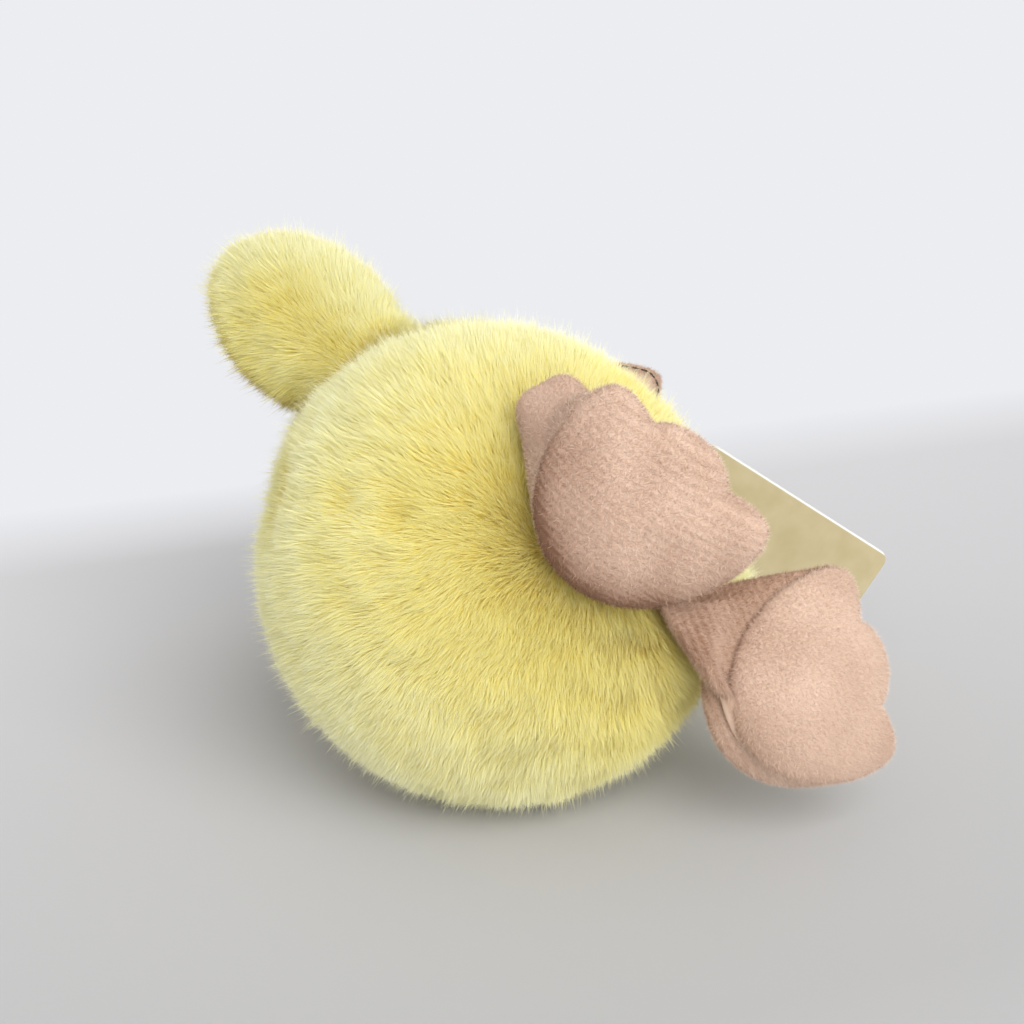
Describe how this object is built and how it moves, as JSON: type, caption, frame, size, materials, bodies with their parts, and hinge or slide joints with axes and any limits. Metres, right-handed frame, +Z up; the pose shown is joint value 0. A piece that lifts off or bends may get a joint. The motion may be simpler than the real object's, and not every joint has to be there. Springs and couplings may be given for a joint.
{
  "type": "plush chick",
  "caption": "Stuffed toy chick in long yellow fur fabric with velour feet and beak, safety eyes and a folded card tag, lying on its side.",
  "frame": {"origin": "bottom centre of the bounding box, on the floor that the toy lies on", "axes": "+X along the longest side, past the feet; +Y away from the toy's underside; +Z up from the floor"},
  "size_m": [0.1438, 0.1202, 0.0933],
  "materials": {
    "fur": "long combed pile",
    "velour": "short brushed nap",
    "stuffing": "loose polyester fibre",
    "beans": "pellets in a cloth pouch",
    "eye": "polished",
    "washer": "moulded",
    "card": "smooth coated card",
    "filament": "drawn nylon"
  },
  "bodies": {
    "trunk": {"body_base_panel": "fur", "body_left_panel": "fur", "body_right_panel": "fur", "head_crown_gusset": "fur", "head_left_panel": "fur", "head_right_panel": "fur", "bean_pouch": "beans", "fibre_stuffing": "stuffing", "left_eye": "eye", "left_eye_washer": "washer", "right_eye": "eye", "right_eye_washer": "washer", "beak_upper": "velour", "beak_lower": "velour", "tag_filament": "filament"},
    "left_wing": {"left_wing_upper_panel": "fur", "left_wing_under_panel": "fur", "left_wing_stuffing": "stuffing"},
    "right_wing": {"right_wing_upper_panel": "fur", "right_wing_under_panel": "fur", "right_wing_stuffing": "stuffing"},
    "left_foot": {"left_foot_top": "velour", "left_foot_sole": "velour", "left_foot_stuffing": "stuffing"},
    "right_foot": {"right_foot_top": "velour", "right_foot_sole": "velour", "right_foot_stuffing": "stuffing"},
    "tag_cover": {"tag_cover_leaf": "card"},
    "tag_back": {"tag_back_leaf": "card"}
  },
  "joints": [
    {"name": "left_wing_swing", "type": "hinge", "parent": "trunk", "child": "left_wing", "pos_m": [0.00205, 0.01088, 0.00418], "axis": [-0.1679, 0.9824, -0.0819], "range_deg": [0, 80], "stiffness_Nm_per_rad": 0.02},
    {"name": "right_wing_swing", "type": "hinge", "parent": "trunk", "child": "right_wing", "pos_m": [-0.04058, 0.00935, 0.0732], "axis": [-0.1679, 0.9824, -0.0819], "range_deg": [-10, 50], "stiffness_Nm_per_rad": 0.02},
    {"name": "left_foot_bend", "type": "hinge", "parent": "trunk", "child": "left_foot", "pos_m": [0.02118, -0.04498, 0.03802], "axis": [0.5253, 0.0189, -0.8507], "range_deg": [-30, 20], "stiffness_Nm_per_rad": 0.02},
    {"name": "right_foot_bend", "type": "hinge", "parent": "trunk", "child": "right_foot", "pos_m": [-0.00065, -0.04577, 0.07337], "axis": [0.5253, 0.0189, -0.8507], "range_deg": [-25, 5], "stiffness_Nm_per_rad": 0.02},
    {"name": "tag_swing", "type": "hinge", "parent": "trunk", "child": "tag_cover", "pos_m": [0.02517, 0.02909, 0.03308], "axis": [-0.1679, 0.9824, -0.0819], "range_deg": [-15, 15]},
    {"name": "tag_open", "type": "hinge", "parent": "tag_cover", "child": "tag_back", "pos_m": [0.02269, 0.03031, 0.02962], "axis": [-0.8249, -0.0945, 0.5573], "range_deg": [0, 100], "stiffness_Nm_per_rad": 0.001}
  ]
}
